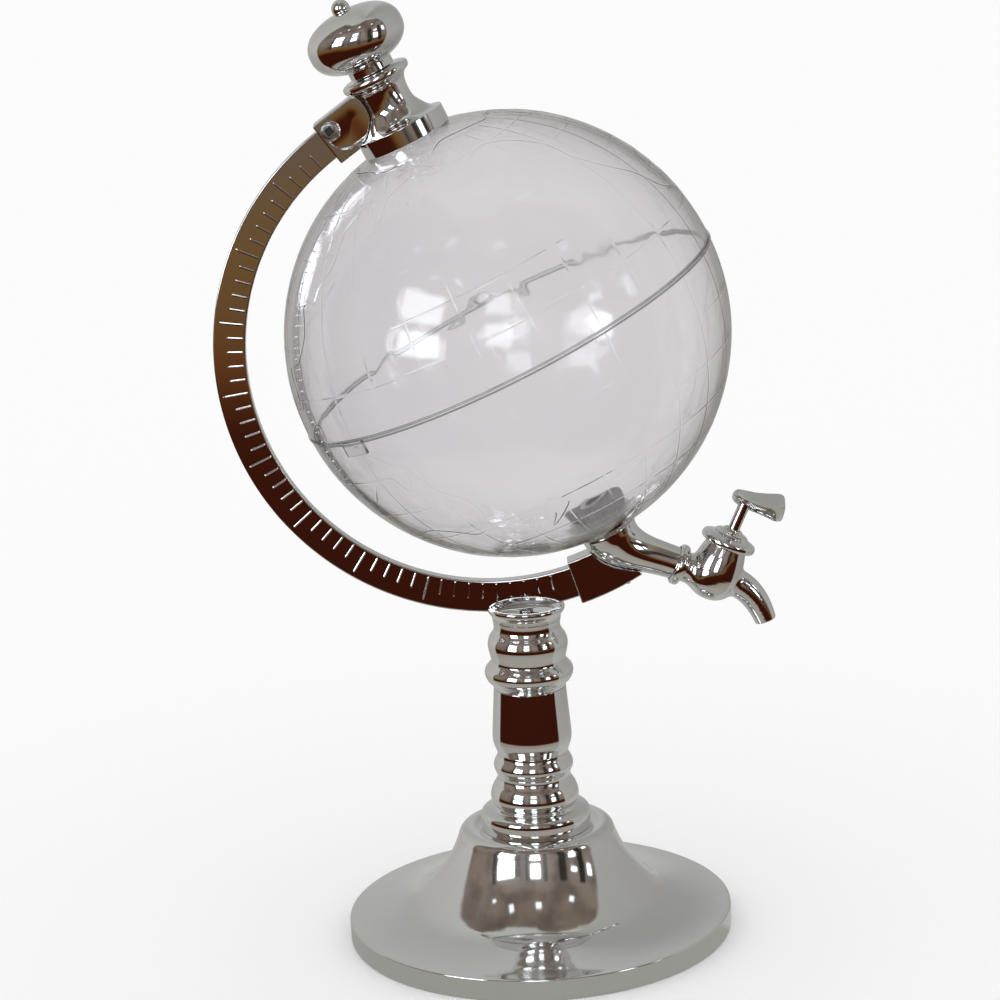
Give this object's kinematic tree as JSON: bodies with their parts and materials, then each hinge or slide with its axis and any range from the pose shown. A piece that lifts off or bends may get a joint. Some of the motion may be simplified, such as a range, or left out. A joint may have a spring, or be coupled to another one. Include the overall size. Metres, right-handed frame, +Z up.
{
  "type": "liquor dispenser",
  "caption": "Clear globe drinks dispenser, tilted in a chrome meridian arm on a turned pedestal, with a lift-out stopper and a lever tap.",
  "frame": {"origin": "centre of the base's flat underside", "axes": "+Z up, +X towards the tap, -Y towards the side with the arm's degree marks"},
  "size_m": [0.2479, 0.196, 0.4252],
  "materials": {
    "chrome": "polished",
    "clear_plastic": "gloss",
    "clear_seal": "satin",
    "grey_plastic": "matte",
    "dark_rubber": "matte",
    "cast_iron": "matte",
    "zinc_steel": "satin",
    "white_plastic": "satin"
  },
  "bodies": {
    "stand": {"base_pad": "dark_rubber", "base_cover": "dark_rubber", "base_shell": "chrome", "base_weight": "cast_iron", "base_collar": "chrome", "tie_rod": "zinc_steel", "tie_rod_nut": "zinc_steel", "tie_rod_washer": "zinc_steel", "column_lower": "chrome", "column_middle": "chrome", "column_upper": "chrome", "arm_cup": "chrome", "arm_screw": "zinc_steel", "meridian_arm": "chrome", "upper_block": "chrome", "upper_block_screw": "zinc_steel", "lower_block": "chrome", "lower_block_screw": "zinc_steel", "elbow_screw": "zinc_steel", "globe_upper": "clear_plastic", "globe_lower": "clear_plastic", "globe_seal": "clear_seal", "neck_fitting": "chrome", "neck_gasket": "clear_seal", "outlet_elbow": "chrome", "outlet_gasket": "clear_seal", "outlet_washer": "clear_seal", "outlet_nut": "grey_plastic", "coupling_ring": "chrome", "valve_body": "chrome", "stem_seal": "dark_rubber", "bonnet": "chrome"},
    "stopper": {"knob": "chrome", "knob_finial": "chrome", "stopper_plug": "white_plastic", "stopper_seal_upper": "clear_seal", "stopper_seal_lower": "clear_seal"},
    "tap_lever": {"tap_handle": "chrome", "valve_stem": "chrome", "handle_pin": "zinc_steel", "valve_plug": "zinc_steel"}
  },
  "joints": [
    {"name": "tap_turn", "type": "hinge", "parent": "stand", "child": "tap_lever", "pos_m": [0.08355, 0, 0.16159], "axis": [0.421, 0, 0.907], "range_deg": [-90, 90]},
    {"name": "stopper_lift", "type": "slide", "parent": "stand", "child": "stopper", "axis": [-0.4067, 0, 0.9135], "range_m": [0, 0.04]}
  ]
}
